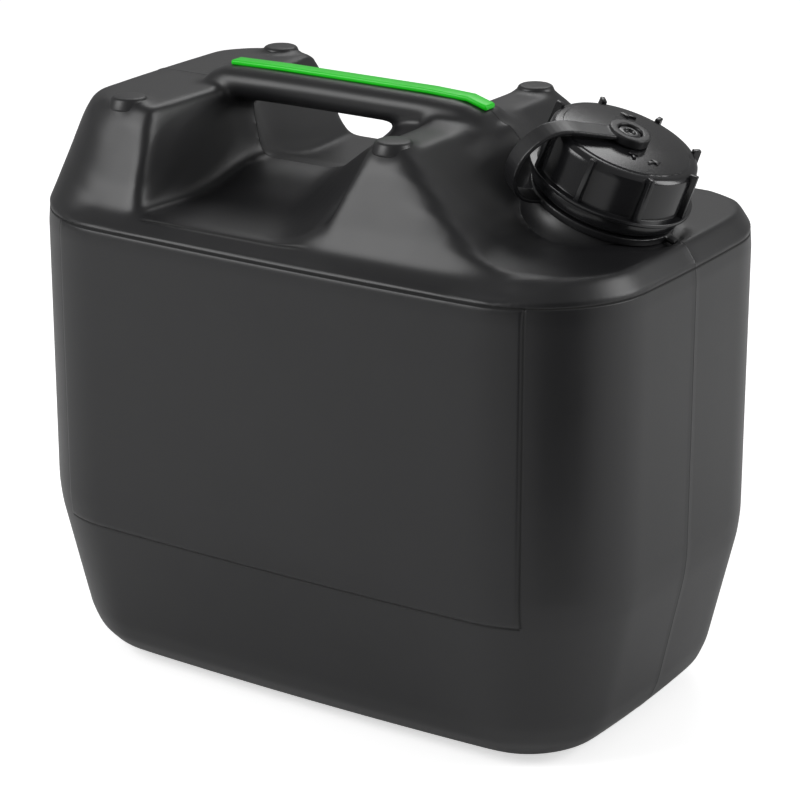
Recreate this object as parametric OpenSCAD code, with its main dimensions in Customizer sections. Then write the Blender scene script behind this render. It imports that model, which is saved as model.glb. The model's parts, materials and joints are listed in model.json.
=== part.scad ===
// Ten litre plastic canister with a moulded carrying handle, a coloured handle strip
// and a tethered screw cap on a slanted neck.
// X runs along the canister with the neck at +X, the front wall faces -Y, Z is up.
// The origin is the centre of the base, on the surface the canister stands on.

/* [Body] */
// Length between the end walls at their corners
body_length = 300; // [296:1:320]
// Depth between the long walls at their corners
body_depth = 187; // [180:1:200]
// Radius of the upright corners
corner_radius = 50; // [42:1:56]
// How far each wall bows out at its middle
wall_bow = 3.8; // [2:0.2:6]
// Thickness of the moulded wall
wall = 2.1; // [2:0.1:2.4]
// Height of the shoulder line above the base
shoulder_height = 220; // [200:1:240]
// Rise from the shoulder line to the top of the blocks
shoulder_rise = 49; // [46:0.5:50]
// Rise of the low deck beside the neck above the shoulder line
deck_rise = 9.5; // [8:0.5:12]
// Height of the crease where the foot starts to taper
waist_height = 81; // [70:1:95]
// Lean of the tapered foot from upright
foot_lean = 12; // [8:0.5:15]
// Radius of the rounding under the foot
foot_radius = 28; // [20:1:34]

/* [Hand recess] */
// Place of the inner face of the left block along X
recess_left = -84; // [-90:1:-80]
// Place of the foot of the right buttress along X
recess_right = 14; // [8:1:16]
// Rise of the recess floor above the shoulder line
recess_rise = 6; // [5:0.5:10]
// Rise of the ridge under the handle above the shoulder line
ridge_rise = 15; // [12:0.5:18]

/* [Handle] */
// Width of the handle bar
handle_width = 28; // [24:1:32]
// Height of the handle bar's section
handle_thickness = 16; // [14:0.5:18]
// Height of the handle's top above the shoulder line
handle_rise = 58.5; // [56:0.5:60]
// Width of the coloured strip
strip_width = 8; // [6:0.5:10]
// Thickness of the coloured strip
strip_thickness = 2.4; // [2:0.1:3]

/* [Lugs] */
// Spacing of the stacking lugs along X
lug_spacing_x = 142.3; // [138:0.1:146]
// Spacing of the stacking lugs along Y
lug_spacing_y = 118; // [112:0.5:124]
// Height of a lug above the block
lug_height = 2.5; // [2:0.5:4]
// Radius of a lug at its foot
lug_radius = 9; // [7.5:0.5:10]

/* [Neck] */
// Lean of the neck from upright, towards +X
neck_tilt = 21.5; // [18:0.5:25]
// Outer radius of the neck over its thread
neck_radius = 29.6; // [29:0.1:30]
// Radius of the pouring bore
pour_radius = 24.5; // [23:0.5:26]

/* [Cap] */
// Outer radius of the cap's wall
cap_radius = 33.5; // [33:0.1:35]
// Depth of the cap from its disc to the top of its flange
cap_depth = 19.6; // [18:0.1:21]
// Number of grip fins around the cap
fin_count = 8; // [6:1:12]
// Gap between the cap's bore and the neck
cap_clearance = 0.4; // [0.3:0.05:0.6]

/* [Strap] */
// Width of the strap's band
band_width = 9.6; // [8:0.2:11]
// Thickness of the strap's band
band_thickness = 2; // [1.6:0.1:2.4]
// Direction of the strap around the neck, from the low side of the neck
strap_angle = 238; // [230:1:250]
// How far the strap's loop stands out from the neck's axis
loop_reach = 50; // [48:0.5:53]

/* [Hidden] */

half_length = body_length / 2;
half_depth = body_depth / 2;
block_height = shoulder_height + shoulder_rise;
deck_height = shoulder_height + deck_rise;
floor_height = shoulder_height + recess_rise;
ridge_height = shoulder_height + ridge_rise;
handle_top = shoulder_height + handle_rise;

// Slopes are rises in Z for each millimetre of run
end_slope = 2.7;
side_slope = 2.4;
flare_slope = 0.5;
flare_width = 9;
flare_round = 7;
corner_run = 60;
block_face_slope = 7;
buttress_slope = 3.2;
ridge_side_slope = 0.5;
ridge_ramp_slope = 0.8;
ridge_half_width = 8;
ridge_round = 12;
ramp_start = recess_right - 44;
lobe_start = recess_right + 38;
lobe_from = recess_right + 6;
lobe_slope = 1.15;
lobe_side_slope = 0.55;
lobe_round = 6;
peak_end = recess_right + 33;
crest_slope = 0.82;
crest_dip = 0.16;
crest_dip_run = 20;
block_round = 9;
lip_round = 3;
lip_height = 12;
deck_round = 7;
deck_round_run = 40;
deck_blend = 12;
face_round = 18;
buttress_round = 6;
floor_round = 20;
foot_round = 9;
shoulder_thinning = 0.8;
steep_thickening = 2;

// The left block's face stands out towards the middle, and more under the handle's root
face_bulge = 6;
root_bulge = 5;
root_half_width = 24;

// Inset and height at the lower end of the tapered foot
foot_sin = sin(foot_lean);
foot_end_height = foot_radius * (1 - foot_sin);
foot_end_inset = tan(foot_lean) * (waist_height - foot_end_height);
foot_centre_inset = foot_end_inset + foot_radius * cos(foot_lean);
waist_round = 5;
underside_width = 22;
underside_step = 4;
underside_rise = 2;

// Grid cells along X and Y over the top, outside and inside
outer_cells = [58, 36];
inner_cells = [38, 22];
arc_steps = 4;

// Grid columns against places along X: closer together over the left block's steep face
column_places = [
    [-1, -1], [-0.62, (recess_left - 8) / half_length], [-0.2, (recess_left + 22) / half_length], [1, 1]];

// Neck stations, measured down the neck's axis from the cap's disc
neck_from_end = 31.65;
neck_rise = 50.4;
disc_centre = [half_length - neck_from_end, 0, shoulder_height + neck_rise];
cutter_height = 60;
cap_top = 2.8;
gasket_thickness = 1.8;
gasket_inner_radius = 21;
seal_gap = 0.05;
gasket_depth = cap_top + seal_gap;
rim_depth = gasket_depth + gasket_thickness + seal_gap;
flange_thickness = 1.8;
flange_radius = 37.1;
bevel_drop = 2.4;
disc_radius = 30.35;
fin_reach = 2.6;
fin_width = 1.8;
fin_lift = 0.7;
ring_gap = 0.4;
band_top_depth = cap_depth + flange_thickness + ring_gap;
tamper_height = 5.6;
tamper_radius = 34;
tamper_bore = neck_radius + 0.1;
bead_depth = band_top_depth + tamper_height + ring_gap;
bead_height = 1.4;
bead_radius = 31.4;
strap_top_depth = bead_depth + bead_height + ring_gap;
strap_ring_height = 3.4;
strap_ring_radius = 33.2;
seat_depth = strap_top_depth + strap_ring_height + ring_gap;
collar_radius = 31.6;
collar_length = 26;
seat_pocket_radius = 39;
stud_radius = 4.1;
stud_head_radius = 5.2;
stud_head_height = 1.2;
eye_radius = 9.3;
eye_height = 4.2;
eye_lift = 0.4;
eye_floor = 2.2;
turning_gap = 0.1;
eye_top_bore = stud_head_radius + 0.3;
stud_head_start = eye_lift + eye_floor + turning_gap;
cap_bore = neck_radius + cap_clearance;
strap_ring_bore = neck_radius + 0.3;
fin_phase = 5;
strip_sink = 0.9;
tab_angle = 5;
tab_width = 5;
tab_length = 4.5;
strip_from = recess_left - 11;
strip_to = recess_right + 41;
strip_groove_clearance = 5;
round_faces = 96;
lug_middle = (recess_left + recess_right) / 2 + 1.65;
lug_root = 3;

function smooth_min(a, b, r) =
    let (h = max(r - abs(a - b), 0) / r) min(a, b) - h * h * r / 4;
function smooth_max(a, b, r) = -smooth_min(-a, -b, r);

// Point of the rounded, bowed plan for a point of the square half-lengths hx and hy
function plan_point(x, y, hx, hy, r) =
    let (
        a = abs(x) - (hx - r),
        b = abs(y) - (hy - r),
        m = max(a, b),
        turn = (a > 0 && b > 0) ? 45 * min(a, b) / m : 0,
        ax = (a > 0 && b > 0) ? (hx - r) + m * (a > b ? cos(turn) : sin(turn)) : abs(x),
        ay = (a > 0 && b > 0) ? (hy - r) + m * (a > b ? sin(turn) : cos(turn)) : abs(y),
        bow_x = 1 + wall_bow / hx * (1 - pow(ay / hy, 2)),
        bow_y = 1 + wall_bow / hy * (1 - pow(ax / hx, 2))
    )
    [sign(x) * ax * bow_x, sign(y) * ay * bow_y];

// Rise of the surface above the shoulder line, from the distances in from the end and side walls
function shoulder_profile(from_end, from_side) =
    let (
        depth = min(from_end, from_side),
        side_share = min(1, max(0, 0.5 + (from_end - from_side) / corner_run)),
        side_rise = smooth_max(flare_slope * depth, side_slope * (depth - flare_width), flare_round)
    )
    side_share * side_rise + (1 - side_share) * end_slope * depth;

// Height of the top over a plan point; inset sinks it evenly for the inner face
function top_height(x, y, rise, inset) =
    let (
        ay = abs(y),
        shoulder = shoulder_height + rise - inset * shoulder_thinning,
        peak = block_height - inset,
        beyond_peak = max(0, x - peak_end),
        side_dip = crest_dip * max(0, lug_spacing_y / 2 - ay) * min(1, beyond_peak / crest_dip_run),
        crest = peak - side_dip - crest_slope * beyond_peak,
        lobe = handle_top - inset - lobe_slope * max(0, x - lobe_start) - lobe_side_slope * ay,
        hump = x > lobe_from ? smooth_max(crest, min(lobe, peak), lobe_round) : crest,
        high = smooth_max(hump, deck_height - inset, deck_blend),
        root = root_bulge * pow(max(0, 1 - ay / root_half_width), 2),
        face_x = recess_left + face_bulge * (1 - pow(ay / half_depth, 2)) + root - inset * steep_thickening,
        block_face = floor_height + block_face_slope * (face_x - x),
        buttress = floor_height + buttress_slope * (x - recess_right - inset * steep_thickening),
        ramp = min(ridge_height + ridge_ramp_slope * max(0, x - ramp_start), peak) - inset,
        ridge_side = smooth_max(0, ay - ridge_half_width + inset / 2, ridge_round),
        ridge = ramp - ridge_side_slope * ridge_side,
        recess = smooth_max(
            smooth_max(smooth_max(floor_height - inset, ridge, ridge_round), block_face, floor_round),
            buttress, foot_round),
        middle = smooth_min(high, recess, x < 0 ? face_round : buttress_round),
        lip = lip_round + (block_round - lip_round) * min(1, max(0, middle - floor_height) / lip_height)
    )
    smooth_min(middle, shoulder,
        lip + (deck_round - block_round) * min(1, beyond_peak / deck_round_run));

// Square boundary points in order, counter-clockwise from above
function border(cells) = concat(
    [for (i = [0 : cells.x - 1]) [i, 0]],
    [for (j = [0 : cells.y - 1]) [cells.x, j]],
    [for (i = [cells.x : -1 : 1]) [i, cells.y]],
    [for (j = [cells.y : -1 : 1]) [0, j]]);

function square_point(ij, cells, hx, hy) =
    [hx * lookup(2 * ij.x / cells.x - 1, column_places), hy * (2 * ij.y / cells.y - 1)];

function plan_ring(cells, inset, r, z) =
    [for (ij = border(cells))
        let (
            hx = half_length - inset,
            hy = half_depth - inset,
            s = square_point(ij, cells, hx, hy),
            p = plan_point(s.x, s.y, hx, hy, r)
        )
        [p.x, p.y, z]];

// Insets and heights of the rings from the base's middle out and up to the waist
function foot_profile(inset) = concat(
    inset > 0 ? [] : [
        [foot_centre_inset + underside_width + underside_step, underside_rise],
        [foot_centre_inset + underside_width, 0]],
    [for (k = [0 : arc_steps])
        let (a = 90 - (90 - foot_lean) * k / arc_steps)
        [foot_centre_inset - (foot_radius - inset) * cos(a),
         foot_radius - (foot_radius - inset) * sin(a) + (inset > 0 ? underside_rise : 0)]],
    [[inset + waist_round * sin(foot_lean), waist_height - waist_round],
     [inset, waist_height + waist_round]]);

// One closed skin of the canister, inset from the outside
module body_skin(inset, cells) {
    hx = half_length - inset;
    hy = half_depth - inset;
    r = corner_radius - inset;
    profile = foot_profile(inset);
    count = 2 * (cells.x + cells.y);
    rings = [for (p = profile) plan_ring(cells, p.x, max(12, corner_radius - 0.9 * p.x), p.y)];
    top = [for (j = [0 : cells.y]) for (i = [0 : cells.x])
        let (
            s = square_point([i, j], cells, hx, hy),
            p = plan_point(s.x, s.y, hx, hy, r)
        )
        [p.x, p.y, top_height(p.x, p.y, shoulder_profile(hx - abs(s.x), hy - abs(s.y)), inset)]];
    points = concat([for (ring = rings) for (p = ring) p], top);
    first_top = len(rings) * count;
    edge = [for (ij = border(cells)) first_top + ij.y * (cells.x + 1) + ij.x];
    function ring_point(k, n) = k == len(rings) ? edge[n % count] : k * count + n % count;
    underside = [[for (n = [0 : count - 1]) n]];
    sides = [for (k = [0 : len(rings) - 1]) for (n = [0 : count - 1])
        each [
            [ring_point(k, n), ring_point(k + 1, n), ring_point(k + 1, n + 1)],
            [ring_point(k, n), ring_point(k + 1, n + 1), ring_point(k, n + 1)]]];
    roof = [for (j = [0 : cells.y - 1]) for (i = [0 : cells.x - 1])
        let (a = first_top + j * (cells.x + 1) + i, b = a + cells.x + 1)
        each [[a, b, b + 1], [a, b + 1, a + 1]]];
    polyhedron(points, concat(underside, sides, roof), convexity = 12);
}

// Rounded bar swept along the handle's curved spine
function bar_section(width, height) =
    [for (a = [0 : 22.5 : 337.5])
        [width / 2 * sign(cos(a)) * pow(abs(cos(a)), 0.8),
         height / 2 * sign(sin(a)) * pow(abs(sin(a)), 0.8)]];
handle_spine = [
    [recess_left - 20, -10, 0.8], [recess_left - 13, -3.5, 0.95], [recess_left - 4, -0.8, 1],
    [recess_left + 24, -0.2, 1], [(recess_left + recess_right) / 2, 0, 1], [recess_right + 6, 0, 1],
    [recess_right + 26, -0.8, 1], [recess_right + 36, -3.8, 0.98], [recess_right + 46, -13, 0.9]];

module handle_bar(inset) {
    section = bar_section(handle_width - 2 * inset, handle_thickness - 2 * inset);
    sides = len(section);
    last = len(handle_spine) - 1;
    middle = handle_top - handle_thickness / 2;
    points = [for (s = handle_spine) for (p = section) [s.x, p.x * s.z, middle + s.y + p.y * s.z]];
    walls = [for (k = [0 : last - 1]) for (n = [0 : sides - 1])
        let (a = k * sides + n, b = k * sides + (n + 1) % sides)
        each [[a, a + sides, b + sides], [a, b + sides, b]]];
    near_end = [for (n = [0 : sides - 1]) n];
    far_end = [for (n = [sides - 1 : -1 : 0]) last * sides + n];
    polyhedron(points, concat([near_end, far_end], walls), convexity = 4);
}

// Places children in the neck's frame: Z up its axis, zero at the cap's disc
module on_neck() {
    translate(disc_centre) rotate([0, neck_tilt, 0]) children();
}

// Ring about the neck's axis between two depths below the disc
module neck_ring(outer, inner, top_depth, height) {
    translate([0, 0, -top_depth - height]) difference() {
        cylinder(r = outer, h = height, $fn = round_faces);
        translate([0, 0, -1]) cylinder(r = inner, h = height + 2, $fn = round_faces);
    }
}

module neck_outside() {
    translate([0, 0, -seat_depth]) cylinder(r = neck_radius, h = seat_depth - rim_depth, $fn = round_faces);
    translate([0, 0, -bead_depth - bead_height]) cylinder(r = bead_radius, h = bead_height, $fn = round_faces);
    translate([0, 0, -seat_depth - collar_length])
        cylinder(r = collar_radius, h = collar_length, $fn = round_faces);
}

module stacking_lugs() {
    for (side_x = [-1, 1]) for (side_y = [-1, 1])
        translate([lug_middle + side_x * lug_spacing_x / 2, side_y * lug_spacing_y / 2, block_height - lug_root])
            cylinder(r1 = lug_radius + 1, r2 = lug_radius - 1.5, h = lug_height + lug_root, $fn = 48);
}

module canister_body() {
    color([0.05, 0.05, 0.055])
    difference() {
        union() {
            difference() {
                body_skin(0, outer_cells);
                on_neck() translate([0, 0, -seat_depth])
                    cylinder(r = seat_pocket_radius, h = cutter_height, $fn = round_faces);
            }
            handle_bar(0);
            stacking_lugs();
            on_neck() neck_outside();
        }
        difference() {
            body_skin(wall, inner_cells);
            on_neck() translate([0, 0, -seat_depth - wall])
                cylinder(r = seat_pocket_radius + wall, h = cutter_height, $fn = round_faces);
        }
        handle_bar(wall);
        on_neck() translate([0, 0, -seat_depth - 2 * wall])
            cylinder(r = pour_radius, h = cutter_height, $fn = round_faces);
        strip_bar(strip_thickness + strip_groove_clearance);
    }
}

// Bar on the handle's crown that follows its spine, sunk into it by strip_sink
module strip_bar(thickness) {
    line = [for (s = handle_spine) if (s.x > strip_from && s.x < strip_to) [s.x, handle_top + s.y - strip_sink]];
    outline = concat(line, [for (k = [len(line) - 1 : -1 : 0]) line[k] + [0, thickness]]);
    translate([0, strip_width / 2, 0]) rotate([90, 0, 0]) linear_extrude(height = strip_width) polygon(outline);
}

module handle_strip() {
    color([0.05, 0.8, 0.08]) strip_bar(strip_thickness);
}

module screw_cap() {
    skirt_end = -cap_depth - flange_thickness;
    color([0.06, 0.06, 0.065]) on_neck() {
        rotate_extrude($fn = round_faces) polygon([
            [0, 0], [disc_radius, 0], [cap_radius, -bevel_drop], [cap_radius, -cap_depth],
            [flange_radius, -cap_depth], [flange_radius, skirt_end], [cap_bore, skirt_end],
            [cap_bore, -cap_top], [0, -cap_top]]);
        for (k = [0 : fin_count - 1])
            rotate([0, 0, fin_phase + 360 / fin_count * k])
                translate([cap_radius - 1, -fin_width / 2, -cap_depth])
                    cube([fin_reach + 1, fin_width, cap_depth + fin_lift]);
        translate([0, 0, -1]) cylinder(r = stud_radius, h = stud_head_start + 1, $fn = round_faces);
        translate([0, 0, stud_head_start])
            cylinder(r = stud_head_radius, h = stud_head_height, $fn = round_faces);
    }
}

module cap_gasket() {
    color([0.75, 0.75, 0.72]) on_neck()
        neck_ring(cap_bore - seal_gap, gasket_inner_radius, gasket_depth, gasket_thickness);
}

module tamper_ring() {
    color([0.06, 0.06, 0.065]) on_neck()
        neck_ring(tamper_radius, tamper_bore, band_top_depth, tamper_height);
}

// Centre line of the strap's band, outwards from the axis and up from the disc
band_middle = eye_lift + eye_height / 2;
ring_middle = -strap_top_depth - strap_ring_height / 2;
band_line = [
    [eye_radius - 9, band_middle], [eye_radius - 2, band_middle], [21, 2.9], [33, 2.8], [42, -1],
    [loop_reach - 1.5, -10], [loop_reach, -20], [loop_reach - 4, -28], [40, ring_middle],
    [strap_ring_radius - 1.5, ring_middle], [strap_ring_radius - 4, ring_middle]];

// Point of a smooth curve through four neighbours of a line, t from 0 to 1 between the middle two
function curve_point(p, q, r, s, t) =
    0.5 * (2 * q + t * (r - p) + t * t * (2 * p - 5 * q + 4 * r - s) + t * t * t * (3 * q - p - 3 * r + s));
function curve(line, steps) = concat(
    [for (k = [1 : len(line) - 3]) for (t = [0 : steps - 1])
        curve_point(line[k - 1], line[k], line[k + 1], line[k + 2], t / steps)],
    [line[len(line) - 2]]);
function side_step(line, k) =
    let (
        d = line[min(k + 1, len(line) - 1)] - line[max(k - 1, 0)],
        n = [-d.y, d.x] / norm(d)
    )
    n * band_thickness / 2;

module cap_strap() {
    path = curve(band_line, 4);
    upper = [for (k = [0 : len(path) - 1]) path[k] + side_step(path, k)];
    lower = [for (k = [len(path) - 1 : -1 : 0]) path[k] - side_step(path, k)];
    color([0.06, 0.06, 0.065]) on_neck() {
        neck_ring(strap_ring_radius, strap_ring_bore, strap_top_depth, strap_ring_height);
        rotate([0, 0, tab_angle]) translate([strap_ring_radius - 1, -tab_width / 2, ring_middle - 1])
            cube([tab_length + 1, tab_width, 2]);
        difference() {
            union() {
                translate([0, 0, eye_lift]) cylinder(r = eye_radius, h = eye_height, $fn = round_faces);
                rotate([0, 0, strap_angle]) rotate([90, 0, 0])
                    translate([0, 0, -band_width / 2]) linear_extrude(height = band_width)
                        polygon(concat(upper, lower));
            }
            cylinder(r = stud_radius + turning_gap, h = eye_lift + eye_height + 1, $fn = round_faces);
            translate([0, 0, eye_lift + eye_floor])
                cylinder(r = eye_top_bore, h = eye_height, $fn = round_faces);
            translate([0, 0, -strap_top_depth - strap_ring_height - 1])
                cylinder(r = strap_ring_bore, h = strap_ring_height + 2, $fn = round_faces);
        }
    }
}

canister_body();
handle_strip();
screw_cap();
cap_gasket();
tamper_ring();
cap_strap();
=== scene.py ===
# %% [markdown]
# # A ten litre canister with a tethered screw cap
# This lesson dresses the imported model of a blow-moulded canister. The CAD solids give every place and
# size in metres, and Blender adds the soft moulded surface, the small parts' rounded edges and the
# finishes. A soft, seamless black moulding shows its shape only by the light on it, so most of the
# work is in the smoothness of the body and in the roughness of its plastic.

# %% Load the frame
import json
import math
import bpy
import numpy as np
from mathutils import Matrix, Vector

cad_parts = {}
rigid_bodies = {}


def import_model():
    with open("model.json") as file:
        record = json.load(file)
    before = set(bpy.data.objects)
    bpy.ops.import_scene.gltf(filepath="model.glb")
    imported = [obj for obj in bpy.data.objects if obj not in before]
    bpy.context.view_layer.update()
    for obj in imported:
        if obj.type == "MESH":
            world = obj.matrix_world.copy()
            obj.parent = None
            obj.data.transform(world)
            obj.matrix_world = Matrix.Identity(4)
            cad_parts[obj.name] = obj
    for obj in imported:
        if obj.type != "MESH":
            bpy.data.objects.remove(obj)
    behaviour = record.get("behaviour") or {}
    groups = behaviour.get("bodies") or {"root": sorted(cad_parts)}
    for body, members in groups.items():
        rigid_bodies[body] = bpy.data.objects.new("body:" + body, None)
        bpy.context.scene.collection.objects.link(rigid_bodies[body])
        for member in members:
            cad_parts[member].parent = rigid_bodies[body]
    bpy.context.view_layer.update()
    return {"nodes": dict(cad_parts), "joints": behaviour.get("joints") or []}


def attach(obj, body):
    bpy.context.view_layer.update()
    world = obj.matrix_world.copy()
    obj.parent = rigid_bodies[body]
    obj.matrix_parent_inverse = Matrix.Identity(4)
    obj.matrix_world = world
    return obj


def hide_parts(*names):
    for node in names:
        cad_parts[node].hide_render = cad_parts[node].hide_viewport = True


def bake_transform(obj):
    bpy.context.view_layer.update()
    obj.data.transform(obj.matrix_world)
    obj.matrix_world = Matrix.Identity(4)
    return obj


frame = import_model()

# %% [markdown]
# ## The camera and the studio
# The camera stands where the photograph was taken from: a long lens, about 33 degrees to the right
# of the front wall and 20 degrees above it. The floor is pale and the world is a plain soft light. A
# white background comes from what the camera sees of the world and the floor, not from more light.

# %% Camera
MM = 0.001
VIEW_AZIMUTH = math.radians(33.18)
VIEW_ELEVATION = math.radians(19.71)
VIEW_DISTANCE = 1397.88 * MM
VIEW_TARGET = Vector((3.12, -0.96, 129.86)) * MM
SENSOR_WIDTH = 36.0
FOCAL_PIXELS = 3025.72
FRAME_PIXELS = 800


def add_camera():
    """The photograph's camera, looking at the middle of the canister."""
    back = Vector((math.sin(VIEW_AZIMUTH) * math.cos(VIEW_ELEVATION),
                   -math.cos(VIEW_AZIMUTH) * math.cos(VIEW_ELEVATION),
                   math.sin(VIEW_ELEVATION)))
    bpy.ops.object.camera_add(location=VIEW_TARGET + back * VIEW_DISTANCE,
                              rotation=(math.pi / 2 - VIEW_ELEVATION, 0, VIEW_AZIMUTH))
    camera = bpy.context.object
    camera.name = "photo_camera"
    camera.data.sensor_width = SENSOR_WIDTH
    camera.data.lens = SENSOR_WIDTH * FOCAL_PIXELS / FRAME_PIXELS
    camera.data.clip_start = 0.05
    camera.data.clip_end = 50
    bpy.context.scene.camera = camera
    return camera


camera = add_camera()
print("lens", round(camera.data.lens, 2), "mm")


# %% Small helpers for working by hand
def deselect_all():
    """Object mode with nothing selected, so that an operator acts only on what is chosen next."""
    if bpy.context.object and bpy.context.object.mode != "OBJECT":
        bpy.ops.object.mode_set(mode="OBJECT")
    bpy.ops.object.select_all(action="DESELECT")


def choose(*pieces):
    """Selects these pieces and makes the first one active."""
    deselect_all()
    for piece in pieces:
        piece.select_set(True)
    bpy.context.view_layer.objects.active = pieces[0]


def apply_modifier(piece, kind, **settings):
    """Adds one modifier, sets it and applies it."""
    choose(piece)
    modifier = piece.modifiers.new(kind.lower(), kind)
    for name, value in settings.items():
        setattr(modifier, name, value)
    bpy.ops.object.modifier_apply(modifier=modifier.name)


def edit(piece, select="SELECT"):
    """Edit mode on one piece with everything, or nothing, selected."""
    choose(piece)
    bpy.ops.object.mode_set(mode="EDIT")
    bpy.ops.mesh.select_all(action=select)


def leave_edit():
    bpy.ops.object.mode_set(mode="OBJECT")


def points_of(mesh):
    values = np.empty(len(mesh.vertices) * 3, np.float32)
    mesh.vertices.foreach_get("co", values)
    return values.reshape(-1, 3).astype(float)


def set_points(mesh, points):
    mesh.vertices.foreach_set("co", points.astype(np.float32).ravel())
    mesh.update()


def face_centres(mesh):
    values = np.empty(len(mesh.polygons) * 3, np.float32)
    mesh.polygons.foreach_get("center", values)
    return values.reshape(-1, 3).astype(float)


def pick_faces(piece, chosen):
    """Selects faces by a list of true and false, in object mode, then enters edit mode."""
    choose(piece)
    bpy.ops.object.mode_set(mode="EDIT")
    bpy.ops.mesh.select_mode(type="FACE")
    bpy.ops.mesh.select_all(action="DESELECT")
    bpy.ops.object.mode_set(mode="OBJECT")
    piece.data.polygons.foreach_set("select", np.asarray(chosen, bool))
    bpy.ops.object.mode_set(mode="EDIT")


def copy_of(node, name):
    """A separate, merged copy of a CAD node's mesh that may be changed."""
    source = frame["nodes"][node]
    piece = bpy.data.objects.new(name, source.data.copy())
    bpy.context.scene.collection.objects.link(piece)
    edit(piece)
    bpy.ops.mesh.remove_doubles(threshold=0.01 * MM)
    leave_edit()
    piece.data.materials.clear()
    return piece


# %% [markdown]
# ## Where the neck is
# The cap turns about the neck's axis, so the cap's hinge in the frame gives the neck's direction and
# the centre of the cap's disc. Every round piece is turned upright at the origin first, with the disc
# at height zero, and then laid onto the neck in one move.

# %% The neck's axis
cap_hinge = next(j for j in frame["joints"] if j["name"] == "cap_turn")
NECK_CENTRE = Vector(cap_hinge["pos_m"])
NECK_AXIS = Vector(cap_hinge["axis"]).normalized()
NECK_TILT = math.atan2(NECK_AXIS.x, NECK_AXIS.z)
NECK_PLACE = Matrix.Translation(NECK_CENTRE) @ Matrix.Rotation(NECK_TILT, 4, "Y")
print("neck tilt", round(math.degrees(NECK_TILT), 2), "degrees")


def neck_height_radius(points):
    """Height up the neck's axis from the disc, and distance from the axis, for rows of points."""
    away = points - np.array(NECK_CENTRE)
    height = away @ np.array(NECK_AXIS)
    radius = np.linalg.norm(away - height[:, None] * np.array(NECK_AXIS), axis=1)
    return height, radius


def lay_on_neck(piece):
    """Moves a piece made upright at the origin to its place on the neck, in its mesh."""
    deselect_all()
    piece.matrix_world = NECK_PLACE
    choose(piece)
    bpy.ops.object.transform_apply(location=True, rotation=True, scale=True)


def lathe(name, profile, steps=128):
    """A round piece: a profile of (radius, height) in millimetres is extruded point by point and spun."""
    deselect_all()
    bpy.ops.mesh.primitive_plane_add(size=MM)
    piece = bpy.context.object
    piece.name = name
    bpy.ops.object.mode_set(mode="EDIT")
    bpy.ops.mesh.select_all(action="SELECT")
    bpy.ops.mesh.merge(type="CENTER")
    radius, height = profile[0]
    bpy.ops.transform.translate(value=(radius * MM, 0, height * MM))
    for (r0, h0), (r1, h1) in zip(profile, profile[1:]):
        bpy.ops.mesh.extrude_vertices_move(
            TRANSFORM_OT_translate={"value": ((r1 - r0) * MM, 0, (h1 - h0) * MM)})
    bpy.ops.mesh.select_all(action="SELECT")
    bpy.ops.mesh.spin(steps=steps, angle=2 * math.pi, center=(0, 0, 0), axis=(0, 0, 1))
    bpy.ops.mesh.select_all(action="SELECT")
    bpy.ops.mesh.remove_doubles(threshold=0.005 * MM)
    bpy.ops.mesh.normals_make_consistent(inside=False)
    leave_edit()
    return piece


def soften_edges(piece, width, segments=3, angle=28):
    """Rounds the sharp edges and shades the rest smooth."""
    apply_modifier(piece, "BEVEL", width=width * MM, segments=segments, limit_method="ANGLE",
                   angle_limit=math.radians(angle), harden_normals=False)
    choose(piece)
    bpy.ops.object.shade_smooth_by_angle(angle=math.radians(40))


def join(pieces, name):
    """Joins pieces into the first one."""
    choose(*pieces)
    bpy.ops.object.join()
    pieces[0].name = name
    return pieces[0]


# %% [markdown]
# ## The blow-moulded body
# The real body is one hollow moulding. Its skin was blown against a mould, so no edge on it is sharp
# and the handle runs into the blocks with soft fillets. The CAD solid has the true shape in flat
# facets. A copy of its outer skin is remeshed finely and smoothed until the facets melt into one
# another, and then the crisp marks of the mould are put back: the proud front and back panels, the
# thin step under the shoulder and the parting line.

# %% Outer skin of the body
SEAT_DEPTH = 33.6 * MM
BODY_VOXEL = 1.5 * MM


def outer_skin():
    """The CAD body's outside only, closed over the seat of the neck."""
    piece = copy_of("canister_body", "canister_shell")
    height, radius = neck_height_radius(face_centres(piece.data))
    on_neck = (radius < 36 * MM) & (height > -SEAT_DEPTH - 0.1 * MM)
    bore = (radius < 25.5 * MM) & (height > -SEAT_DEPTH - 12 * MM)
    pick_faces(piece, on_neck | bore)
    bpy.ops.mesh.delete(type="FACE")
    bpy.ops.mesh.select_all(action="DESELECT")
    leave_edit()
    lowest = int(np.argmin(points_of(piece.data)[:, 2]))
    edit(piece, "DESELECT")
    bpy.ops.mesh.select_mode(type="VERT")
    leave_edit()
    piece.data.vertices[lowest].select = True
    bpy.ops.object.mode_set(mode="EDIT")
    bpy.ops.mesh.select_linked()
    bpy.ops.mesh.select_all(action="INVERT")
    bpy.ops.mesh.delete(type="VERT")
    bpy.ops.mesh.select_all(action="SELECT")
    bpy.ops.mesh.fill_holes(sides=0)
    leave_edit()
    return piece


body = outer_skin()
print("outer skin faces", len(body.data.polygons))

# %% Melt the facets
FACET_SMOOTHING = 22
KEPT_TRIANGLES = 0.46
SHOULDER_HEIGHT = 220.0
EDGE_SMOOTHING = 0.16


def ease(value, low, high):
    """0 below low, 1 above high, and a smooth turn between them."""
    t = np.clip((value - low) / (high - low), 0, 1)
    return t * t * (3 - 2 * t)


def smooth(piece, passes, factor=0.5, group=""):
    apply_modifier(piece, "SMOOTH", factor=factor, iterations=passes, vertex_group=group)


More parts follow.
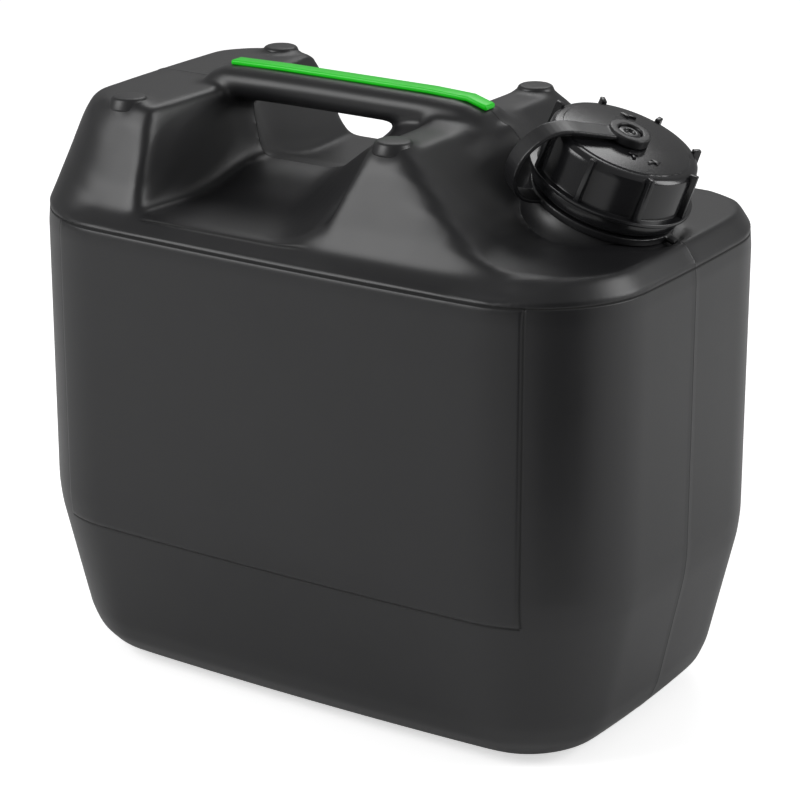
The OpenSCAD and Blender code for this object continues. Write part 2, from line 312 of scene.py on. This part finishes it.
def melt_group(piece):
    """A vertex group that lets the smoothing work less along the shoulder's edge."""
    height = points_of(piece.data)[:, 2] / MM
    share = EDGE_SMOOTHING + (1 - EDGE_SMOOTHING) * ease(np.abs(height - SHOULDER_HEIGHT), 1.5, 7)
    group = piece.vertex_groups.new(name="melt")
    levels = np.round(share, 1)
    for level in np.unique(levels):
        group.add(np.flatnonzero(levels == level).tolist(), float(level), "REPLACE")


def remesh(piece, voxel):
    choose(piece)
    apply_modifier(piece, "REMESH", mode="VOXEL", voxel_size=voxel, use_smooth_shade=True)


remesh(body, BODY_VOXEL)
melt_group(body)
smooth(body, FACET_SMOOTHING, group="melt")
print("remeshed faces", len(body.data.polygons))

# %% [markdown]
# ### The marks of the mould
# The front and back walls are panels that stand a little proud of the corners and end at the waist.
# The shoulder overhangs the wall by half a millimetre, and a low seam runs around the parting plane.
# Moving the skin's points along their normals by a formula puts these marks anywhere on the smooth
# skin. The thin shadow lines beside them are finer than the mesh, so the finish paints them later as
# painted shade: a near-black colour along the grooves, with a bump.

# %% Panels, shoulder step and parting line
WAIST_HEIGHT = 81.0
PANEL_HALF_LENGTH = 121.0
PANEL_PROUD = 0.9
PANEL_BOTTOM = WAIST_HEIGHT - 4.5
SHOULDER_STEP = 0.5
SEAM_HEIGHT = 0.35
SEAM_WIDTH = 0.9


def normals_of(mesh):
    values = np.empty(len(mesh.vertices) * 3, np.float32)
    mesh.vertices.foreach_get("normal", values)
    return values.reshape(-1, 3).astype(float)


def mark_mould(piece):
    """Moves the skin's points outwards by the height of each mark."""
    points = points_of(piece.data)
    normals = normals_of(piece.data)
    x, y, z = (points / MM).T
    long_wall = ease(np.abs(normals[:, 1]), 0.55, 0.8)
    panel = (long_wall * ease(PANEL_HALF_LENGTH - np.abs(x), -0.8, 0.8)
             * ease(z, PANEL_BOTTOM - 0.8, PANEL_BOTTOM + 0.8)
             * ease(SHOULDER_HEIGHT - z, 0.5, 2.5))
    step = ease(z, SHOULDER_HEIGHT - 9, SHOULDER_HEIGHT - 1) * ease(SHOULDER_HEIGHT - z, -1.2, 0.4)
    upright = ease(0.5 - np.abs(normals[:, 2]), -0.1, 0.2)
    seam = np.exp(-(y / SEAM_WIDTH) ** 2) * ease(z, 3, 12)
    rise = PANEL_PROUD * panel + SEAM_HEIGHT * seam - SHOULDER_STEP * step * upright
    set_points(piece.data, points + normals * rise[:, None] * MM)


mark_mould(body)
body.vertex_groups.clear()
apply_modifier(body, "DECIMATE", ratio=KEPT_TRIANGLES)
choose(body)
bpy.ops.object.shade_smooth()
print("skin triangles", sum(len(p.vertices) - 2 for p in body.data.polygons))

# %% [markdown]
# ### Lugs and neck
# Four blunt lugs key into the canister stacked above. The neck is turned: a plain tube with a rolled
# rim, a coarse thread of two turns, a bead that holds the tamper ring and a collar for the strap's
# ring. The thread is a small profile carried around the neck by the Screw modifier. The real thread
# is hidden under the cap, so its shape here is a usual one and not read from the photograph.

# %% Stacking lugs
LUG_MIDDLE_X = -33.35
LUG_SPACING = (142.3, 118.0)
LUG_FOOT_RADIUS = 10.0
LUG_TOP_RADIUS = 7.7
LUG_TOP = 271.5
LUG_ROOT = 266.0


def add_lugs():
    lugs = []
    for side_x in (-1, 1):
        for side_y in (-1, 1):
            deselect_all()
            bpy.ops.mesh.primitive_cone_add(
                vertices=48, radius1=LUG_FOOT_RADIUS * MM, radius2=LUG_TOP_RADIUS * MM,
                depth=(LUG_TOP - LUG_ROOT) * MM,
                location=((LUG_MIDDLE_X + side_x * LUG_SPACING[0] / 2) * MM,
                          side_y * LUG_SPACING[1] / 2 * MM, (LUG_TOP + LUG_ROOT) / 2 * MM))
            lug = bpy.context.object
            bpy.ops.object.transform_apply(location=True, rotation=True, scale=True)
            soften_edges(lug, 1.2, segments=4)
            lugs.append(lug)
    return lugs


lugs = add_lugs()
print("lugs", len(lugs))

# %% Neck with its thread
NECK_RADIUS = 27.6
THREAD_RADIUS = 29.5
PITCH = 6.0


def add_neck():
    neck = lathe("neck", [
        (24.5, -46), (24.5, -6), (25.2, -5), (26.8, -5), (NECK_RADIUS, -6), (NECK_RADIUS, -27.4),
        (31.2, -28), (31.2, -29.2), (29.4, -29.4), (29.4, -33.2), (31.4, -33.6), (33.5, -38),
        (33.5, -46), (24.5, -46)])
    soften_edges(neck, 0.35)
    deselect_all()
    bpy.ops.mesh.primitive_circle_add(vertices=4, radius=1 * MM)
    thread = bpy.context.object
    bpy.ops.object.mode_set(mode="EDIT")
    bpy.ops.mesh.delete(type="ONLY_FACE")
    leave_edit()
    corners = [(NECK_RADIUS - 0.4, -19.8), (THREAD_RADIUS, -18.8), (THREAD_RADIUS, -17.8),
               (NECK_RADIUS - 0.4, -16.8)]
    set_points(thread.data, np.array([(r, 0, h) for r, h in corners]) * MM)
    apply_modifier(thread, "SCREW", angle=math.radians(620), screw_offset=PITCH * 620 / 360 * MM,
                   steps=160, render_steps=160, use_merge_vertices=False)
    edit(thread)
    bpy.ops.mesh.fill_holes(sides=0)
    bpy.ops.mesh.normals_make_consistent(inside=False)
    leave_edit()
    choose(thread)
    bpy.ops.object.shade_smooth_by_angle(angle=math.radians(40))
    neck = join([neck, thread], "neck")
    lay_on_neck(neck)
    return neck


neck = add_neck()
print("neck faces", len(neck.data.polygons))

# %% One moulding
shell = join([body, neck, *lugs], "canister_shell")
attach(shell, "canister")
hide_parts("canister_body")
print("body triangles", sum(len(p.vertices) - 2 for p in shell.data.polygons))

# %% [markdown]
# ## The screw cap
# The cap is turned as one profile: a flat disc with a stepped, rounded rim, a wall and a thin flange.
# Eight slim fins stand on the wall for grip, and a stud in the middle holds the eye of the strap.

# %% Cap
CAP_TOP = 2.8
CAP_WALL = 33.5
CAP_BORE = 30.0
FLANGE = 37.1
FLANGE_TOP = -19.6
FLANGE_BOTTOM = -21.4
FIN_COUNT = 8
FIN_PHASE = math.radians(5)
ARROWS = [(23.5, 120, 0), (13.7, 312, 90), (19.0, 342, 0)]


def add_cap():
    cap = lathe("cap_shell", [
        (0, 0), (28.6, 0), (29.0, -0.5), (30.6, -0.5), (31.9, -1.0), (33.0, -2.2), (CAP_WALL, -4.2),
        (CAP_WALL + 0.2, FLANGE_TOP), (FLANGE, FLANGE_TOP), (FLANGE, FLANGE_BOTTOM),
        (CAP_BORE, FLANGE_BOTTOM), (CAP_BORE, -CAP_TOP), (0, -CAP_TOP)])
    soften_edges(cap, 0.45)
    return cap


def add_fins():
    fins = []
    for k in range(FIN_COUNT):
        deselect_all()
        bpy.ops.mesh.primitive_cube_add(size=1)
        fin = bpy.context.object
        set_points(fin.data, np.array([
            (r, side * half, h) for r, h, half in (
                (32.0, FLANGE_TOP - 0.5, 1.5), (32.0, 0.2, 1.3), (36.4, FLANGE_TOP - 0.5, 1.2),
                (35.6, 0.6, 1.1)) for side in (-1, 1)]) * MM)
        fin.data.transform(Matrix.Rotation(FIN_PHASE + 2 * math.pi * k / FIN_COUNT, 4, "Z"))
        edit(fin)
        bpy.ops.mesh.delete(type="ONLY_FACE")
        bpy.ops.mesh.select_all(action="SELECT")
        bpy.ops.mesh.convex_hull()
        bpy.ops.mesh.normals_make_consistent(inside=False)
        leave_edit()
        soften_edges(fin, 0.35)
        fins.append(fin)
    return fins


def add_stud():
    stud = lathe("stud", [(0, -1), (4.1, -1), (4.1, 2.7), (5.2, 2.9), (5.2, 3.5), (4.4, 3.9), (2.6, 3.9),
                          (2.2, 2.9), (0, 2.9)], steps=64)
    soften_edges(stud, 0.2)
    return stud


def add_arrows():
    """Raised direction marks on the disc: a short bar with a three-sided head."""
    arrows = []
    for radius, angle, turn in ARROWS:
        deselect_all()
        bpy.ops.mesh.primitive_cube_add(size=1, location=(0, -1.8 * MM, 0.2 * MM),
                                        scale=(1.4 * MM, 3.6 * MM, 1 * MM))
        bar = bpy.context.object
        bpy.ops.object.transform_apply(location=True, rotation=True, scale=True)
        deselect_all()
        bpy.ops.mesh.primitive_cylinder_add(vertices=3, radius=2.6 * MM, depth=1 * MM,
                                            location=(0, 1 * MM, 0.2 * MM))
        head = bpy.context.object
        bpy.ops.object.transform_apply(location=True, rotation=True, scale=True)
        arrow = join([bar, head], "arrow")
        place = (Matrix.Rotation(math.radians(angle), 4, "Z") @ Matrix.Translation((radius * MM, 0, 0))
                 @ Matrix.Rotation(math.radians(turn), 4, "Z"))
        arrow.data.transform(place)
        soften_edges(arrow, 0.1, segments=2)
        arrows.append(arrow)
    return arrows


cap = join([add_cap(), *add_fins(), *add_arrows(), add_stud()], "cap_shell")
lay_on_neck(cap)
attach(cap, "cap")
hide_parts("screw_cap")
print("cap triangles", sum(len(p.vertices) - 2 for p in cap.data.polygons))

# %% [markdown]
# ## Tamper ring, strap and handle strip
# The tamper ring is turned as a thin band, without the small bridges at its top edge. The strap is moulded
# in one piece of a softer plastic, so a copy of its solid is remeshed finely and smoothed. Its ring stays
# on the neck while its eye rises with the cap. The strip is let into the handle's crown: its solid only
# needs round edges.

# %% Tamper ring
def add_tamper_ring():
    ring = lathe("tamper_band", [(29.8, -21.9), (33.4, -21.9), (33.9, -22.8), (34.0, -26.9), (33.4, -27.4),
                                 (29.8, -27.4), (29.8, -21.9)])
    soften_edges(ring, 0.3)
    lay_on_neck(ring)
    return ring


tamper = add_tamper_ring()
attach(tamper, "canister")
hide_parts("tamper_ring")

# %% Strap
STRAP_VOXEL = 0.45 * MM
STRAP_SMOOTHING = 5


def add_strap():
    piece = copy_of("cap_strap", "strap_band")
    remesh(piece, STRAP_VOXEL)
    smooth(piece, STRAP_SMOOTHING)
    return piece


strap = add_strap()
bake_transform(strap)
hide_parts("cap_strap")
print("strap triangles", sum(len(p.vertices) - 2 for p in strap.data.polygons))

# %% Handle strip
def add_strip():
    piece = copy_of("handle_strip", "strip_cover")
    edit(piece)
    bpy.ops.mesh.dissolve_limited(angle_limit=math.radians(0.5))
    leave_edit()
    soften_edges(piece, 0.9, segments=4)
    return piece


strip = add_strip()
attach(strip, "canister")
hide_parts("handle_strip")
print("strip triangles", sum(len(p.vertices) - 2 for p in strip.data.polygons))

# %% [markdown]
# ## Finishes
# Black plastic is almost all reflection: its own colour is a few hundredths, and what the eye reads
# is the sheen of the lamps spread by a fine grain. Shader maths is written as expressions on a small
# wrapper, so that each finish reads as a sentence.

# %% Node helpers
class Field:
    """One socket of a shader tree, with arithmetic."""

    def __init__(self, finish, socket):
        self.finish = finish
        self.socket = socket

    def maths(self, operation, *others):
        return self.finish.node("ShaderNodeMath", {"operation": operation},
                                [self, *others])["Value"]

    def __add__(self, other):
        return self.maths("ADD", other)

    __radd__ = __add__

    def __mul__(self, other):
        return self.maths("MULTIPLY", other)

    __rmul__ = __mul__

    def __rsub__(self, other):
        return (self * -1) + other

    def __sub__(self, other):
        return self.maths("SUBTRACT", other)

    def absolute(self):
        return self.maths("ABSOLUTE")

    def line(self, centre, width):
        """1 on a centre line and falling to 0 at about twice the width from it."""
        away = (self - centre) * (1 / width)
        return (away * away * -1).maths("EXPONENT")

    def above(self, low, high):
        """0 below low, 1 above high, and a smooth turn between them."""
        return self.finish.node("ShaderNodeMapRange", {"interpolation_type": "SMOOTHSTEP"}, {
            "Value": self, "From Min": low, "From Max": high})["Result"]


class Finish:
    """A material and the nodes in it."""

    def __init__(self, name):
        self.material = bpy.data.materials.new(name)
        self.material.use_nodes = True
        self.tree = self.material.node_tree
        self.shader = self.tree.nodes["Principled BSDF"]

    def feed(self, socket, value):
        if isinstance(value, Field):
            self.tree.links.new(value.socket, socket)
        else:
            socket.default_value = value

    def node(self, kind, settings=None, values=()):
        """Adds a node: its settings first, then its inputs by order or by name. Returns its outputs."""
        made = self.tree.nodes.new(kind)
        for name, value in (settings or {}).items():
            if name == "stops":
                for stop, (place, shade) in zip(made.color_ramp.elements, value):
                    stop.position = place
                    stop.color = (shade, shade, shade, 1)
            else:
                setattr(made, name, value)
        pairs = values.items() if isinstance(values, dict) else enumerate(values)
        for key, value in pairs:
            self.feed(made.inputs[key], value)
        return {out.name: Field(self, out) for out in made.outputs if out.enabled}

    def place(self):
        return self.node("ShaderNodeTexCoord")["Object"]

    def noise(self, scale, detail=3.0, roughness=0.5):
        return self.node("ShaderNodeTexNoise", {}, {
            "Vector": self.place(), "Scale": scale, "Detail": detail, "Roughness": roughness})["Fac"]

    def mix(self, amount, first, second):
        made = self.tree.nodes.new("ShaderNodeMix")
        made.data_type = "RGBA"
        self.feed(made.inputs["Factor"], amount)
        self.feed(made.inputs[6], first)
        self.feed(made.inputs[7], second)
        return Field(self, made.outputs[2])

    def bump(self, height, strength, distance):
        return self.node("ShaderNodeBump", {}, {
            "Height": height, "Strength": strength, "Distance": distance})["Normal"]

    def set(self, **values):
        for name, value in values.items():
            self.feed(self.shader.inputs[name.replace("_", " ").title().replace("Ior", "IOR")], value)

    def dress(self, piece):
        piece.data.materials.clear()
        piece.data.materials.append(self.material)


RECESS_LIP = 87.0


def mould_lines_and_painted_shade(finish):
    """The body's crisp lines under the shoulder, around the panels, along the recess lip and along the
    parting plane, as bump; all but the parting line are also painted shade, a near-black colour in the
    grooves.
    """
    place = finish.node("ShaderNodeSeparateXYZ", {}, {"Vector": finish.place()})
    x, y, z = (place[axis] * 1000.0 for axis in "XYZ")
    long_wall = y.absolute().above(84, 87)
    panel_height = z.above(PANEL_BOTTOM - 0.5, PANEL_BOTTOM) * (1 - z.above(218.5, 219))
    inside_panel = 1 - x.absolute().above(PANEL_HALF_LENGTH, PANEL_HALF_LENGTH + 0.5)
    groove = z.line(SHOULDER_HEIGHT - 1.1, 0.42)
    panel_sides = x.absolute().line(PANEL_HALF_LENGTH + 0.6, 0.5) * long_wall * panel_height
    panel_foot = z.line(PANEL_BOTTOM - 0.9, 0.6) * long_wall * inside_panel
    parting = y.line(0, 0.35) * z.above(8, 14)
    along_recess = x.above(-80, -72) * (1 - x.above(4, 14))
    recess_lip = (y.absolute().line(RECESS_LIP, 0.8) * along_recess * z.above(220.5, 222)
                  * (1 - z.above(232, 238)))
    # Painted shade: this groove mask darkens the colour as well as shaping the bump.
    groove_bump_and_painted_shade = groove + panel_sides * 0.7 + panel_foot * 0.8 + recess_lip * 0.9
    return groove_bump_and_painted_shade, parting * 0.25 - groove_bump_and_painted_shade * 0.55


def moulded_plastic(name, dark, pale, roughness, spread, grain, wave, marks_and_painted_shade=None):
    """Moulded plastic: an uneven sheen, a fine grain and the slow waves of a cooled wall."""
    finish = Finish(name)
    patches = finish.noise(28.0, detail=4.0, roughness=0.6)
    specks = finish.noise(900.0, detail=2.0)
    waves = finish.noise(11.0, detail=1.5)
    fine = finish.noise(2600.0, detail=1.0)
    colour = finish.mix(patches, (*dark, 1), (*pale, 1))
    sheen = patches * spread + specks * (spread * 0.5) + (roughness - spread * 0.75)
    relief = fine * grain + waves * wave
    if marks_and_painted_shade:
        painted_line_shade, heights = marks_and_painted_shade(finish)
        # Painted shade: the groove mask mixes the colour to near black, standing for the shadow in the
        # grooves.
        colour = finish.mix(painted_line_shade, colour, (0.0015, 0.0015, 0.0016, 1))
        sheen = sheen + painted_line_shade * 0.4
        relief = relief + heights
    finish.set(base_color=colour, roughness=sheen, normal=finish.bump(relief, 1.0, 1 * MM))
    return finish


body_finish = moulded_plastic("black_body_plastic", (0.008, 0.008, 0.009), (0.014, 0.014, 0.015),
                              0.40, 0.08, 0.02, 0.5, mould_lines_and_painted_shade)
cap_finish = moulded_plastic("black_cap_plastic", (0.007, 0.007, 0.008), (0.012, 0.012, 0.013),
                             0.2, 0.07, 0.01, 0.05)
strap_finish = moulded_plastic("black_strap_plastic", (0.008, 0.008, 0.009), (0.013, 0.013, 0.014),
                               0.34, 0.08, 0.012, 0.06)
strip_finish = moulded_plastic("green_strip_plastic", (0.0, 0.62, 0.002), (0.002, 0.72, 0.004),
                               0.35, 0.06, 0.01, 0.05)
gasket_finish = moulded_plastic("pale_gasket_foam", (0.55, 0.55, 0.52), (0.65, 0.65, 0.61),
                                0.7, 0.1, 0.05, 0.05)
body_finish.dress(shell)
cap_finish.dress(cap)
cap_finish.dress(tamper)
strap_finish.dress(strap)
strip_finish.dress(strip)
gasket_finish.dress(frame["nodes"]["cap_gasket"])
print("finishes", len(bpy.data.materials))

# %% [markdown]
# ## Floor, lamps and world
# A large lamp above and to the left lights the shoulders, a second one at the right lights the end
# wall, a weak one behind catches the tops, and the world fills the rest evenly. Only the camera sees
# the world white and the floor a little brighter than it is, so the canister stands on a plain white
# ground with its own soft shadow. A black card at the right darkens the corner's sheen.

# %% Stage
WORLD_STRENGTH = 0.3
CAMERA_GLOW = 0.6


def add_floor():
    deselect_all()
    bpy.ops.mesh.primitive_plane_add(size=12, location=(0, 0, 0))
    floor = bpy.context.object
    floor.name = "pale_floor"
    finish = Finish("pale_floor_paint")
    grain = finish.noise(3.0)
    seen = finish.node("ShaderNodeLightPath")["Is Camera Ray"]
    finish.set(base_color=finish.mix(grain, (0.86, 0.86, 0.86, 1), (0.9, 0.9, 0.9, 1)), roughness=0.9,
               emission_color=finish.mix(seen, (0, 0, 0, 1), (1, 1, 1, 1)), emission_strength=CAMERA_GLOW)
    finish.dress(floor)
    return floor


def add_lamp(name, place, target, size, power):
    direction = Vector(target) - Vector(place)
    bpy.ops.object.light_add(type="AREA", location=place,
                             rotation=direction.to_track_quat("-Z", "Y").to_euler())
    lamp = bpy.context.object
    lamp.name = name
    lamp.data.shape = "RECTANGLE"
    lamp.data.size, lamp.data.size_y = size
    lamp.data.energy = power
    return lamp


def add_flag(name, place, target, size):
    """A black card that only reflections see. It darkens the sheen on the walls that face it."""
    direction = Vector(target) - Vector(place)
    deselect_all()
    bpy.ops.mesh.primitive_plane_add(size=1, location=place,
                                     rotation=direction.to_track_quat("Z", "Y").to_euler())
    flag = bpy.context.object
    flag.name = name
    flag.scale = (*size, 1)
    bpy.ops.object.transform_apply(location=True, rotation=True, scale=True)
    flag.visible_camera = False
    flag.visible_diffuse = False
    flag.visible_shadow = False
    cloth = Finish("black_flag_cloth")
    cloth.set(base_color=cloth.mix(cloth.noise(40.0), (0.003, 0.003, 0.003, 1), (0.006, 0.006, 0.006, 1)),
              roughness=1.0)
    cloth.dress(flag)
    return flag


def set_world():
    world = bpy.data.worlds.new("studio")
    bpy.context.scene.world = world
    world.use_nodes = True
    tree = world.node_tree
    tree.nodes.clear()
    rays = tree.nodes.new("ShaderNodeLightPath")
    soft = tree.nodes.new("ShaderNodeBackground")
    soft.inputs["Color"].default_value = (1, 1, 1, 1)
    soft.inputs["Strength"].default_value = WORLD_STRENGTH
    white = tree.nodes.new("ShaderNodeBackground")
    white.inputs["Color"].default_value = (1, 1, 1, 1)
    white.inputs["Strength"].default_value = 1.0
    choice = tree.nodes.new("ShaderNodeMixShader")
    out = tree.nodes.new("ShaderNodeOutputWorld")
    tree.links.new(rays.outputs["Is Camera Ray"], choice.inputs["Fac"])
    tree.links.new(soft.outputs[0], choice.inputs[1])
    tree.links.new(white.outputs[0], choice.inputs[2])
    tree.links.new(choice.outputs[0], out.inputs["Surface"])


add_floor()
add_flag("corner_flag", (0.36, -0.24, 0.14), (0.12, -0.08, 0.14), (0.26, 0.5))
set_world()
add_lamp("key_lamp", (-0.8, -1.1, 1.05), (0, 0, 0.15), (0.9, 0.9), 15)
add_lamp("end_lamp", (1.3, 0.6, 0.8), (0, 0, 0.15), (0.7, 0.9), 12)
add_lamp("top_lamp", (-0.35, 0.9, 1.15), (0, 0, 0.27), (0.8, 0.4), 3.5)
bpy.context.scene.view_settings.view_transform = "Standard"
